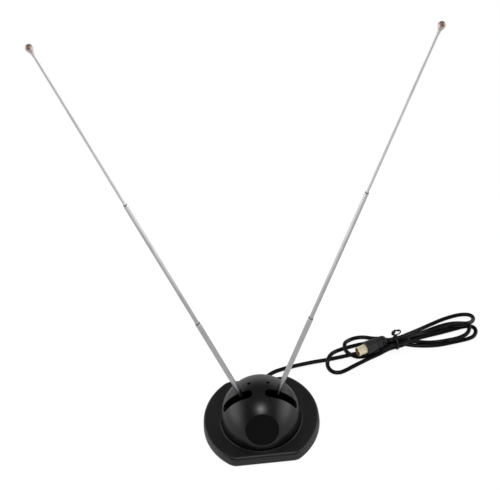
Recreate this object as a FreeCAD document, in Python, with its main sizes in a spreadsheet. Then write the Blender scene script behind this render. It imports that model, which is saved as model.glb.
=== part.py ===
# Indoor television aerial: two telescopic rods in a slotted ball on a weighted plinth, with its coaxial lead.
# Millimetres. Origin on the surface it stands on, under the ball's axis. Front is -Y, up is +Z.
import FreeCAD, Part
import math
import os
import Sketcher

os.makedirs("parts", exist_ok=True)
doc = FreeCAD.newDocument("IndoorAerial")

# Driving sizes, one cell each
SIZES = [
    ("base_radius", "56.6", "plinth radius at the rim"),
    ("plinth_turn_deg", "3.2", "plinth turned under the ball, to the right"),
    ("plinth_back", "2.6", "plinth middle behind the ball axis"),
    ("front_room", "7.1", "flat front of the plinth beyond the ball, at the rim"),
    ("back_room", "12.2", "flat back of the plinth beyond the ball, at the rim"),
    ("base_corner", "12", "radius of the four corners in plan"),
    ("base_height", "10.6", "top of the plinth above the surface"),
    ("base_draft_deg", "5", "lean of the side wall"),
    ("base_edge", "2.8", "rounding of the top edge"),
    ("base_wall", "2.4", "side wall at the top"),
    ("base_top_wall", "2.2", "top wall"),
    ("rim_gap", "0.6", "rim above the surface"),
    ("lip_width", "1.3", "raised ring round the ball"),
    ("lip_rise", "1.1", "height of that ring"),
    ("pad_thick", "1.2", "anti-slip pad"),
    ("pad_inset", "1.5", "pad inside the base plate's outline"),
    ("plate_thick", "2.4", "base plate"),
    ("plate_clear", "0.2", "plate inside the side wall"),
    ("rib_width", "2", "ring rib on the plate that holds the ball's flange"),
    ("seat_clear", "0.1", "between faces that rest on each other"),
    ("screw_radius", "1.2", "self-tapping screw shank"),
    ("screw_clear", "0.05", "round the shank in its pilot hole"),
    ("screw_head_radius", "2.7", "screw head"),
    ("screw_head_height", "1.1", "screw head"),
    ("screw_bite", "3.8", "length of thread in a boss"),
    ("boss_radius", "2.7", "screw boss in the plinth"),
    ("boss_inset", "3.3", "screw boss from the inside of the side wall"),
    ("boss_deg", "39", "screw bosses from the sideways line"),
    ("ballast_radius", "30", "steel weight"),
    ("ballast_thick", "4", "steel weight"),
    ("ball_radius", "38.2", "outside of the ball"),
    ("ball_rise", "5.6", "ball centre above the plinth's top"),
    ("ball_wall", "2.4", "wall of the ball"),
    ("ball_gap", "0.4", "ball to socket edge, at the equator"),
    ("flange_share", "0.8", "flange across the room between socket and front wall"),
    ("flange_thick", "1.8", "flange under the plinth's top wall"),
    ("slot_width", "8.6", "slot for a rod"),
    ("slot_forward", "4", "slot centre plane in front of the ball axis"),
    ("slot_inner_deg", "8.6", "upper end of a slot from the vertical"),
    ("slot_outer_deg", "67", "lower end of a slot from the vertical"),
    ("vent_radius", "1.7", "small hole behind each slot"),
    ("vent_side", "9", "small hole from the middle"),
    ("vent_back", "8.8", "small hole behind the ball axis"),
    ("disc_radius", "15.4", "flat disc on the front"),
    ("disc_clear", "0.15", "round the disc in its recess"),
    ("disc_thick", "1.2", "flat disc"),
    ("disc_sink", "3.4", "disc face inside the ball's round"),
    ("disc_tilt_deg", "28", "disc axis above the horizontal"),
    ("disc_turn_deg", "2.6", "disc axis to the right of the front"),
    ("pivot_side", "5.8", "rod pivot from the middle"),
    ("pivot_lift", "1", "rod pivot above the ball centre"),
    ("pivot_radius", "1.5", "pivot screw"),
    ("pivot_head_radius", "2.8", "pivot screw head"),
    ("pivot_head_height", "1.8", "pivot screw head"),
    ("washer_thick", "0.6", "spring washer under the head"),
    ("nut_radius", "3.1", "pivot nut across corners, half"),
    ("nut_height", "2.4", "pivot nut"),
    ("run_clear", "0.06", "radial running clearance of pivots and tubes"),
    ("knuckle_radius", "4.6", "eye of the rod's knuckle"),
    ("knuckle_thick", "4.9", "eye of the rod's knuckle"),
    ("knuckle_clear", "0.3", "eye to each cheek"),
    ("cheek_thick", "3", "cheek of the rod carrier"),
    ("cheek_rise", "6", "cheek above the pivot"),
    ("carrier_width", "24", "rod carrier"),
    ("carrier_foot", "2.6", "foot of the rod carrier"),
    ("carrier_ledge", "8", "foot beyond each cheek"),
    ("left_rod_deg", "16.9", "left rod from the vertical"),
    ("right_rod_deg", "18.6", "right rod from the vertical"),
    ("shank_start", "7", "lower end of the first tube above the pivot"),
    ("shank_length", "9", "knuckle shank inside the first tube"),
    ("section_one", "141.5", "pivot to the first joint"),
    ("section_two", "141.8", "first joint to the second"),
    ("section_three", "147.4", "second joint to the tip's end"),
    ("tube_one", "4.7", "diameter of the first tube"),
    ("tube_two", "3.5", "diameter of the second tube"),
    ("tube_three", "2.3", "diameter of the third tube"),
    ("tube_wall", "0.35", "tube wall"),
    ("crimp_length", "1.5", "rolled-in mouth of a tube"),
    ("foot_length", "6", "flared foot of a tube"),
    ("stop_gap", "0.3", "flared foot to the rolled mouth when pulled out"),
    ("tip_radius", "2.7", "button at the end of a rod"),
    ("tip_length", "9", "button and its flared neck"),
    ("cord_radius", "2.1", "coaxial cord"),
    ("exit_side", "2", "cord exit to the right of the middle"),
    ("exit_deg", "46", "cord exit direction, from +X towards the back"),
    ("exit_height", "4.7", "cord exit above the surface"),
    ("grommet_radius", "2.9", "grommet in the plinth wall"),
    ("grommet_nose", "2.5", "grommet at its outer end"),
    ("grommet_inside", "9", "grommet inside the wall's face"),
    ("grommet_outside", "6", "grommet outside the wall's face"),
    ("waist_radius", "6.5", "hank where it is tied"),
    ("waist_height", "7.7", "hank axis above the surface where it is tied"),
    ("hank_low", "4.2", "height of the hank's left loops"),
    ("hank_high", "8.4", "height of the hank's right loops"),
    ("tie_wire", "0.5", "radius of the tie's wire"),
    ("tie_ear", "3.8", "radius of the tie's standing ring"),
    ("plug_height", "11.6", "plug axis above the surface"),
    ("plug_turn_deg", "25.6", "plug axis from +X"),
    ("plug_mouth_x", "100.9", "plug mouth"),
    ("plug_mouth_y", "75.4", "plug mouth"),
    ("barrel_radius", "4.75", "plug barrel"),
    ("barrel_wall", "0.5", "plug barrel"),
    ("barrel_length", "9.5", "plug barrel in front of its grip"),
    ("barrel_seat", "5", "plug barrel inside its grip"),
    ("seat_step", "0.75", "plug barrel, smaller inside its grip"),
    ("grip_radius", "7.1", "plug grip at its front"),
    ("grip_waist", "5.8", "plug grip at its back"),
    ("grip_length", "17.4", "plug grip"),
    ("relief_length", "7.1", "slit tail behind the grip"),
    ("relief_radius", "2.7", "end of that tail"),
    ("slit_depth", "1.6", "slits across the tail"),
    ("groove_depth", "0.55", "ring grooves round the grip"),
    ("pin_radius", "1.2", "plug's centre pin"),
    ("pin_inset", "0.8", "pin end inside the barrel's mouth"),
    ("insulator_thick", "2.4", "insulator in the barrel"),
]
sheet = doc.addObject("Spreadsheet::Sheet", "dims")
for row, (alias, number, note) in enumerate(SIZES, start=1):
    sheet.set("A%d" % row, note)
    sheet.set("B%d" % row, number)
    sheet.setAlias("B%d" % row, alias)
doc.recompute()

NAMES = sorted((alias for alias, number, note in SIZES), key=len, reverse=True)
finished = []


# An expression in plain size names, with the sheet's name put in front of each
def tie(text):
    words = ""
    name = ""
    for letter in str(text) + " ":
        if letter.isalnum() or letter == "_":
            name += letter
            continue
        words += ("dims." + name) if name in NAMES else name
        words += letter
        name = ""
    return words.strip()


# The number that an expression has now
def value(text):
    found = sheet.evalExpression(tie(text))
    return float(getattr(found, "Value", found))


def bind(thing, prop, text):
    thing.setExpression(prop, tie(text))


def place(thing, x, y, z, turn="rotation(vector(0; 0; 1); 0)"):
    bind(thing, "Placement", "placement(vector(%s; %s; %s); %s)" % (x, y, z, turn))


def keep(thing, node):
    thing.Label = node
    finished.append(thing)
    return thing


def plane(body, role):
    return [(item, "") for item in body.Origin.OriginFeatures if item.Role == role]


def new_sketch(body, name, role, lift=None):
    sketch = body.newObject("Sketcher::SketchObject", name)
    sketch.AttachmentSupport = plane(body, role)
    sketch.MapMode = "FlatFace"
    if lift is not None:
        bind(sketch, "AttachmentOffset.Base.z", lift)
    return sketch


# Hold one point of a sketch at two named distances from the origin
def hold(sketch, line, end, x, y):
    for kind, axis, text in (("DistanceX", -2, x), ("DistanceY", -1, y)):
        size = value(text)
        if abs(size) < 1e-9:
            sketch.addConstraint(Sketcher.Constraint("PointOnObject", line, end, axis))
        elif size > 0:
            index = sketch.addConstraint(Sketcher.Constraint(kind, -1, 1, line, end, size))
            bind(sketch, "Constraints[%d]" % index, text)
        else:
            index = sketch.addConstraint(Sketcher.Constraint(kind, line, end, -1, 1, -size))
            bind(sketch, "Constraints[%d]" % index, "-(%s)" % text)


# A closed outline of straight lines
def draw_lines(sketch, points):
    corners = [FreeCAD.Vector(value(x), value(y), 0) for x, y in points]
    count = len(corners)
    for i in range(count):
        sketch.addGeometry(Part.LineSegment(corners[i], corners[(i + 1) % count]))
    for i in range(count):
        sketch.addConstraint(Sketcher.Constraint("Coincident", i, 2, (i + 1) % count, 1))
    for i, (x, y) in enumerate(points):
        hold(sketch, i, 1, x, y)


# Circles of one radius at named places
def draw_circles(sketch, places, radius):
    for i, (x, y) in enumerate(places):
        middle = FreeCAD.Vector(value(x), value(y), 0)
        sketch.addGeometry(Part.Circle(middle, FreeCAD.Vector(0, 0, 1), value(radius)))
        hold(sketch, i, 3, x, y)
        index = sketch.addConstraint(Sketcher.Constraint("Radius", i, value(radius)))
        bind(sketch, "Constraints[%d]" % index, radius)


# The plinth's outline: a round with a flat front and a flat back, and rounded corners
def draw_plinth(sketch, radius, flat, rear, corner):
    big, front, back, small, middle = (value(text) for text in (radius, flat, rear, corner, "plinth_back"))
    low = front + middle - small
    high = back - middle - small
    near = math.sqrt((big - small) ** 2 - low ** 2)
    far = math.sqrt((big - small) ** 2 - high ** 2)
    down, up = math.atan2(low, near), math.atan2(high, far)
    right, half = math.pi / 2, math.pi
    arcs = {0: (0, middle, big, -down, up), 1: (far, middle + high, small, up, right),
            3: (-far, middle + high, small, right, half - up), 4: (0, middle, big, half - up, half + down),
            5: (-near, middle - low, small, half + down, half + right), 7: (near, middle - low, small, -right, -down)}
    lines = {2: (far, back, -far, back), 6: (-near, -front, near, -front)}
    for number in range(8):
        if number in arcs:
            x, y, size, start, end = arcs[number]
            ring = Part.Circle(FreeCAD.Vector(x, y, 0), FreeCAD.Vector(0, 0, 1), size)
            sketch.addGeometry(Part.ArcOfCircle(ring, start, end))
        else:
            x, y, to_x, to_y = lines[number]
            sketch.addGeometry(Part.LineSegment(FreeCAD.Vector(x, y, 0), FreeCAD.Vector(to_x, to_y, 0)))
    for number in range(8):
        sketch.addConstraint(Sketcher.Constraint("Tangent", number, 2, (number + 1) % 8, 1))
    for line in lines:
        sketch.addConstraint(Sketcher.Constraint("Horizontal", line))
    for number in (3, 5, 7):
        sketch.addConstraint(Sketcher.Constraint("Equal", 1, number))
    sketch.addConstraint(Sketcher.Constraint("Coincident", 0, 3, 4, 3))
    sketch.addConstraint(Sketcher.Constraint("Equal", 0, 4))
    sketch.addConstraint(Sketcher.Constraint("PointOnObject", 0, 3, -2))
    for kind, place, text in (("Radius", (0,), radius), ("Radius", (1,), corner),
                              ("DistanceY", (-1, 1, 0, 3), "plinth_back"), ("DistanceY", (6, 1, -1, 1), flat),
                              ("DistanceY", (-1, 1, 2, 1), rear)):
        index = sketch.addConstraint(Sketcher.Constraint(kind, *place, value(text)))
        bind(sketch, "Constraints[%d]" % index, text)


def add_pad(body, sketch, length, draft=None, middle=False):
    pad = body.newObject("PartDesign::Pad", sketch.Name + "_pad")
    pad.Profile = sketch
    bind(pad, "Length", length)
    if draft is not None:
        bind(pad, "TaperAngle", "-(%s)" % draft)
    if middle:
        pad.SideType = "Symmetric"
    return pad


def add_pocket(body, sketch, depth, upward=False, middle=False):
    before = body.Shape.Volume
    pocket = body.newObject("PartDesign::Pocket", sketch.Name + "_pocket")
    pocket.Profile = sketch
    bind(pocket, "Length", depth)
    pocket.Reversed = upward
    if middle:
        pocket.SideType = "Symmetric"
    doc.recompute()
    if body.Shape.Volume > before - 1e-6:
        raise RuntimeError("nothing was cut by " + sketch.Name)
    return pocket


# A turned piece: an outline of (radius, height) revolved round its own upright axis
def turned(node, points, kept=True):
    body = doc.addObject("PartDesign::Body", node + "_body")
    sketch = new_sketch(body, node + "_outline", "XZ_Plane")
    draw_lines(sketch, points)
    turn = body.newObject("PartDesign::Revolution", node + "_turn")
    turn.Profile = sketch
    turn.ReferenceAxis = (sketch, ["V_Axis"])
    turn.Angle = 360
    if kept:
        keep(body, node)
    return body


def cylinder(name, radius, height):
    round_bar = doc.addObject("Part::Cylinder", name)
    bind(round_bar, "Radius", radius)
    bind(round_bar, "Height", height)
    return round_bar


def cut(name, base, tool):
    result = doc.addObject("Part::Cut", name)
    result.Base = base
    result.Tool = tool
    return result


def fuse(name, pieces):
    result = doc.addObject("Part::MultiFuse", name)
    result.Shapes = pieces
    return result


# Heights and radii that several pieces share
PLATE_TOP = "pad_thick + plate_thick"
TOP_UNDERSIDE = "base_height - base_top_wall"
BALLAST_TOP = "pad_thick + plate_thick + ballast_thick"
BALL_Z = "base_height + ball_rise"
PIVOT_Z = "base_height + ball_rise + pivot_lift"
SOCKET = "ball_radius + ball_gap"
INNER_SHRINK = "((base_height - rim_gap) * tan(base_draft_deg * 1 deg) + base_wall)"
INNER_RADIUS = "base_radius - " + INNER_SHRINK
BASE_FLAT = "(ball_radius + front_room)"
BASE_BACK = "(ball_radius + back_room)"
INNER_FLAT = BASE_FLAT + " - " + INNER_SHRINK
INNER_BACK = BASE_BACK + " - " + INNER_SHRINK
INNER_CORNER = "base_corner - " + INNER_SHRINK
FLANGE_TOP = "base_height - base_top_wall - seat_clear"
FLANGE_RADIUS = "%s + flange_share * (%s - (%s))" % (SOCKET, INNER_FLAT, SOCKET)
BOSS_X = "(%s - boss_inset) * cos(boss_deg * 1 deg)" % INNER_RADIUS
BOSS_Y = "(%s - boss_inset) * sin(boss_deg * 1 deg)" % INNER_RADIUS
BACK_BOSS = "(plinth_back + %s)" % BOSS_Y
FRONT_BOSS = "(plinth_back - %s)" % BOSS_Y
BOSSES = [(BOSS_X, BACK_BOSS), ("-" + BOSS_X, BACK_BOSS), ("-" + BOSS_X, FRONT_BOSS), (BOSS_X, FRONT_BOSS)]
PLINTH_TURN = "rotation(vector(0; 0; 1); plinth_turn_deg)"
TURN_COS = "cos(plinth_turn_deg * 1 deg)"
TURN_SIN = "sin(plinth_turn_deg * 1 deg)"
TURNED_BOSSES = [("%s * %s - (%s) * %s" % (x, TURN_COS, y, TURN_SIN), "%s * %s + (%s) * %s" % (x, TURN_SIN, y, TURN_COS))
                 for x, y in BOSSES]
CHEEK_IN = "knuckle_thick / 2 + knuckle_clear"
CHEEK_OUT = "knuckle_thick / 2 + knuckle_clear + cheek_thick"
LEDGE_MID = "(knuckle_thick / 2 + knuckle_clear + cheek_thick + carrier_ledge / 2)"
LEDGES = [("0", "-slot_forward - " + LEDGE_MID), ("0", "-slot_forward + " + LEDGE_MID)]
PLATE_LEDGES = [("(%s) * %s" % (y, TURN_SIN), "(%s) * %s" % (y, TURN_COS)) for x, y in LEDGES]
PILOT = "screw_radius + screw_clear"

# Plinth: drafted cap with a flat front and back, a rounded top edge, a socket for the ball and a raised ring round it
body = doc.addObject("PartDesign::Body", "plinth_body")
rim = new_sketch(body, "rim", "XY_Plane", "rim_gap")
draw_plinth(rim, "base_radius", BASE_FLAT, BASE_BACK, "base_corner")
block = add_pad(body, rim, "base_height - rim_gap", "base_draft_deg")
doc.recompute()
top = value("base_height")
edges = []
for number, edge in enumerate(block.Shape.Edges, start=1):
    if abs(edge.BoundBox.ZMin - top) < 1e-4 and abs(edge.BoundBox.ZMax - top) < 1e-4:
        edges.append("Edge%d" % number)
rounding = body.newObject("PartDesign::Fillet", "plinth_edge")
rounding.Base = (block, edges)
bind(rounding, "Radius", "base_edge")
doc.recompute()
hollow = new_sketch(body, "hollow", "XY_Plane", "rim_gap")
draw_plinth(hollow, INNER_RADIUS, INNER_FLAT, INNER_BACK, INNER_CORNER)
add_pocket(body, hollow, TOP_UNDERSIDE + " - rim_gap", upward=True)
socket = new_sketch(body, "socket", "XY_Plane", "base_height")
draw_circles(socket, [("0", "0")], SOCKET)
add_pocket(body, socket, "base_top_wall * 2")
ring = new_sketch(body, "ring", "XZ_Plane")
LIP_IN = SOCKET
LIP_OUT = SOCKET + " + lip_width"
draw_lines(ring, [
    (LIP_IN, "base_height - base_top_wall / 2"), (LIP_OUT, "base_height - base_top_wall / 2"),
    (LIP_OUT, "base_height + lip_rise * 0.6"), (LIP_OUT + " - lip_width * 0.3", "base_height + lip_rise"),
    (LIP_IN + " + lip_width * 0.3", "base_height + lip_rise"), (LIP_IN, "base_height + lip_rise * 0.6")])
lip = body.newObject("PartDesign::Revolution", "lip")
lip.Profile = ring
lip.ReferenceAxis = (ring, ["V_Axis"])
lip.Angle = 360
posts = new_sketch(body, "posts", "XY_Plane", PLATE_TOP)
draw_circles(posts, BOSSES, "boss_radius")
add_pad(body, posts, TOP_UNDERSIDE + " - " + PLATE_TOP.replace(" + ", " - ") + " + base_top_wall / 2")
doc.recompute()
pilots = new_sketch(body, "pilots", "XY_Plane", PLATE_TOP)
draw_circles(pilots, BOSSES, PILOT)
add_pocket(body, pilots, "screw_bite + seat_clear", upward=True)
place(body, "0", "0", "0", PLINTH_TURN)

# Cord exit through the back wall, slanting the way the cord leaves
EXIT_Y = BASE_BACK
EXIT_TURN = "rotation(vector(0; 0; 1); exit_deg) * rotation(vector(0; 1; 0); 90)"
IN_X = "exit_side - grommet_inside * cos(exit_deg * 1 deg)"
IN_Y = EXIT_Y + " - grommet_inside * sin(exit_deg * 1 deg)"
drill = cylinder("exit_drill", "grommet_radius + screw_clear", "grommet_inside + grommet_outside")
place(drill, IN_X, IN_Y, "exit_height", EXIT_TURN)
keep(cut("plinth", body, drill), "base_shell")
grommet = turned("cord_grommet", [
    ("cord_radius + screw_clear", "0"), ("grommet_radius", "0"),
    ("grommet_radius", "grommet_inside + grommet_outside * 0.4"),
    ("grommet_nose", "grommet_inside + grommet_outside"),
    ("cord_radius + screw_clear", "grommet_inside + grommet_outside")])
place(grommet, IN_X, IN_Y, "exit_height", EXIT_TURN)

# Base plate with the ring rib that clamps the ball's flange, and sunk screw holes
body = doc.addObject("PartDesign::Body", "plate_body")
sheet_outline = new_sketch(body, "plate_outline", "XY_Plane", "pad_thick")
draw_plinth(sheet_outline, INNER_RADIUS + " - plate_clear", INNER_FLAT + " - plate_clear",
            INNER_BACK + " - plate_clear", INNER_CORNER + " - plate_clear")
add_pad(body, sheet_outline, "plate_thick")
rib = new_sketch(body, "rib", "XY_Plane", PLATE_TOP)
draw_circles(rib, [("0", "0"), ("0", "0")], FLANGE_RADIUS + " - 0.5")
rib.delGeometry(1)
inner = rib.addGeometry(Part.Circle(FreeCAD.Vector(0, 0, 0), FreeCAD.Vector(0, 0, 1),
                                    value(FLANGE_RADIUS + " - 0.5 - rib_width")))
rib.addConstraint(Sketcher.Constraint("Coincident", inner, 3, -1, 1))
index = rib.addConstraint(Sketcher.Constraint("Radius", inner, value(FLANGE_RADIUS + " - 0.5 - rib_width")))
bind(rib, "Constraints[%d]" % index, FLANGE_RADIUS + " - 0.5 - rib_width")
add_pad(body, rib, FLANGE_TOP + " - flange_thick - pad_thick - plate_thick - seat_clear")
doc.recompute()
holes = new_sketch(body, "plate_holes", "XY_Plane", "pad_thick")
draw_circles(holes, BOSSES + PLATE_LEDGES, "screw_radius + 0.3")
add_pocket(body, holes, "plate_thick", upward=True)
sinks = new_sketch(body, "plate_sinks", "XY_Plane", "pad_thick")
draw_circles(sinks, BOSSES + PLATE_LEDGES, "screw_head_radius + 0.3")
add_pocket(body, sinks, "screw_head_height + 0.1", upward=True)
place(body, "0", "0", "0", PLINTH_TURN)
notch = cylinder("plate_notch", "grommet_radius + plate_clear", "grommet_inside + grommet_outside")
place(notch, IN_X + " - cos(exit_deg * 1 deg)", IN_Y + " - sin(exit_deg * 1 deg)", "exit_height", EXIT_TURN)
keep(cut("plate", body, notch), "base_plate")

# Anti-slip pad under the plate
body = doc.addObject("PartDesign::Body", "pad_body")
pad_outline = new_sketch(body, "pad_outline", "XY_Plane")
draw_plinth(pad_outline, INNER_RADIUS + " - pad_inset", INNER_FLAT + " - pad_inset", INNER_BACK + " - pad_inset",
            INNER_CORNER + " - pad_inset")
add_pad(body, pad_outline, "pad_thick")
place(body, "0", "0", "0", PLINTH_TURN)
keep(body, "anti_slip_pad")

# Steel weight on the plate, with a hole for each carrier screw
disc = cylinder("weight", "ballast_radius", "ballast_thick")
place(disc, "0", "0", PLATE_TOP)
bores = []
for i, (x, y) in enumerate(LEDGES):
    bore = cylinder("weight_hole_%d" % i, "screw_radius + 0.3", "ballast_thick + 2")
    place(bore, x, y, PLATE_TOP + " - 1")
    bores.append(bore)
keep(cut("weight_cut", disc, fuse("weight_holes", bores)), "ballast_disc")


# Screws that come up through the plate
def screws(node, places, length):
    pieces = []
    for i, (x, y) in enumerate(places):
        screw = turned("%s_%d" % (node, i), [
            ("0", "0"), ("screw_head_radius", "0"), ("screw_head_radius", "screw_head_height * 0.6"),
            ("screw_head_radius * 0.6", "screw_head_height"), ("screw_radius", "screw_head_height"),
            ("screw_radius", length + " - 0.8"), ("screw_radius * 0.4", length), ("0", length)], kept=False)
        place(screw, x, y, "pad_thick")
        pieces.append(screw)
    group = doc.addObject("Part::Compound", node + "_group")
    group.Links = pieces
    keep(group, node)


screws("base_screws", TURNED_BOSSES, "(plate_thick + screw_bite)")
screws("carrier_screws", LEDGES, "(plate_thick + ballast_thick + carrier_foot * 0.75)")

# Rod carrier: a foot on the weight and two cheeks that hold the knuckles between them
body = doc.addObject("PartDesign::Body", "carrier_body")
side = new_sketch(body, "carrier_side", "YZ_Plane")
FOOT_TOP = BALLAST_TOP + " + carrier_foot"
CHEEK_TOP = PIVOT_Z + " + cheek_rise"
REACH = CHEEK_OUT + " + carrier_ledge"
MID = "-slot_forward"
draw_lines(side, [
    ("%s - (%s)" % (MID, REACH), BALLAST_TOP), ("%s + (%s)" % (MID, REACH), BALLAST_TOP),
    ("%s + (%s)" % (MID, REACH), FOOT_TOP), ("%s + (%s)" % (MID, CHEEK_OUT), FOOT_TOP),
    ("%s + (%s)" % (MID, CHEEK_OUT), CHEEK_TOP), ("%s + (%s)" % (MID, CHEEK_IN), CHEEK_TOP),
    ("%s + (%s)" % (MID, CHEEK_IN), FOOT_TOP), ("%s - (%s)" % (MID, CHEEK_IN), FOOT_TOP),
    ("%s - (%s)" % (MID, CHEEK_IN), CHEEK_TOP), ("%s - (%s)" % (MID, CHEEK_OUT), CHEEK_TOP),
    ("%s - (%s)" % (MID, CHEEK_OUT), FOOT_TOP), ("%s - (%s)" % (MID, REACH), FOOT_TOP)])
add_pad(body, side, "carrier_width", middle=True)
doc.recompute()
eyes = new_sketch(body, "carrier_eyes", "XZ_Plane")
draw_circles(eyes, [("pivot_side", PIVOT_Z), ("-pivot_side", PIVOT_Z)], "pivot_radius + screw_clear")
add_pocket(body, eyes, "(carrier_width + carrier_ledge) * 4", middle=True)
threads = new_sketch(body, "carrier_threads", "XY_Plane", BALLAST_TOP)
draw_circles(threads, LEDGES, PILOT)
add_pocket(body, threads, "carrier_foot", upward=True)
keep(body, "rod_carrier")

DISC_FACE = "ball_radius - disc_sink"


# Ball: a slotted shell with a trapped flange, a recess for the front disc and two small holes
def along_disc(name, radius, start, height):
    bar = cylinder(name, radius, height)
    flat = "(%s) * cos(disc_tilt_deg * 1 deg)" % start
    place(bar, flat + " * sin(disc_turn_deg * 1 deg)", "-%s * cos(disc_turn_deg * 1 deg)" % flat,
          "%s + (%s) * sin(disc_tilt_deg * 1 deg)" % (BALL_Z, start),
          "rotation(vector(0; 0; 1); disc_turn_deg) * rotation(vector(1; 0; 0); 90 - disc_tilt_deg)")
    return bar


def sphere(name, radius):
    ball = doc.addObject("Part::Sphere", name)
    bind(ball, "Radius", radius)
    place(ball, "0", "0", BALL_Z)
    return ball


flange = cylinder("flange", FLANGE_RADIUS, "flange_thick")
place(flange, "0", "0", FLANGE_TOP + " - flange_thick")
recess = along_disc("recess", "disc_radius + disc_clear", DISC_FACE + " - disc_thick - disc_clear", "ball_radius")
outside = fuse("ball_outside", [cut("ball_recessed", sphere("ball_outer", "ball_radius"), recess), flange])
backing = along_disc("backing", "ball_radius", DISC_FACE + " - disc_thick - disc_clear - ball_wall", "ball_radius")
inside = cut("ball_inside", sphere("ball_inner", "ball_radius - ball_wall"), backing)
below = cylinder("ball_below", "ball_radius * 3", "ball_radius * 2")
place(below, "0", "0", FLANGE_TOP + " - flange_thick - ball_radius * 2")
SLOT_END = "asin(slot_width / 2 / ball_radius)"
tools = [inside, below]
for hand, sign in (("left", "-"), ("right", "")):
    sector = cylinder(hand + "_slot", "ball_radius * 1.2", "slot_width")
    bind(sector, "Angle", "(slot_outer_deg - slot_inner_deg) * 1 deg - 2 * " + SLOT_END)
    start = "90 deg - slot_outer_deg * 1 deg + " + SLOT_END
    if hand == "left":
        start = "90 deg + slot_inner_deg * 1 deg + " + SLOT_END
    place(sector, "0", "-slot_forward + slot_width / 2", BALL_Z,
          "rotation(vector(1; 0; 0); 90) * rotation(vector(0; 0; 1); %s)" % start)
    tools.append(sector)
    for end, text in (("inner", "slot_inner_deg * 1 deg + " + SLOT_END),
                      ("outer", "slot_outer_deg * 1 deg - " + SLOT_END)):
        bar = cylinder("%s_slot_%s" % (hand, end), "slot_width / 2", "ball_radius * 1.2")
        place(bar, "0", "-slot_forward", BALL_Z, "rotation(vector(0; 1; 0); %s(%s))" % (sign, text))
        tools.append(bar)
    vent = cylinder(hand + "_vent", "vent_radius", "ball_radius")
    place(vent, sign + "vent_side", "vent_back", BALL_Z + " + ball_radius / 2")
    tools.append(vent)
keep(cut("ball", outside, fuse("ball_tools", tools)), "ball_shell")
keep(along_disc("disc", "disc_radius", DISC_FACE + " - disc_thick", "disc_thick"), "front_disc")

# Rods, built upright on their pivot and then leaned outwards
MOUTH_ONE = "tube_two / 2 + run_clear"
MOUTH_TWO = "tube_three / 2 + run_clear"
END_ONE = "section_one"
END_TWO = "section_one + section_two"
END_THREE = "section_one + section_two + section_three"
BORE_ONE = "tube_one / 2 - tube_wall"
BORE_TWO = "tube_two / 2 - tube_wall"
BORE_THREE = "tube_three / 2 - tube_wall"
FOOT_TWO = "section_one - crimp_length - stop_gap - foot_length"
FOOT_THREE = "section_one + section_two - crimp_length - stop_gap - foot_length"
NECK = END_THREE + " - tip_length"


def lean(thing, hand):
    sign = "-" if hand == "left" else ""
    place(thing, sign + "pivot_side", "-slot_forward", PIVOT_Z,
          "rotation(vector(0; 1; 0); %s%s_rod_deg)" % (sign, hand))


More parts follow.
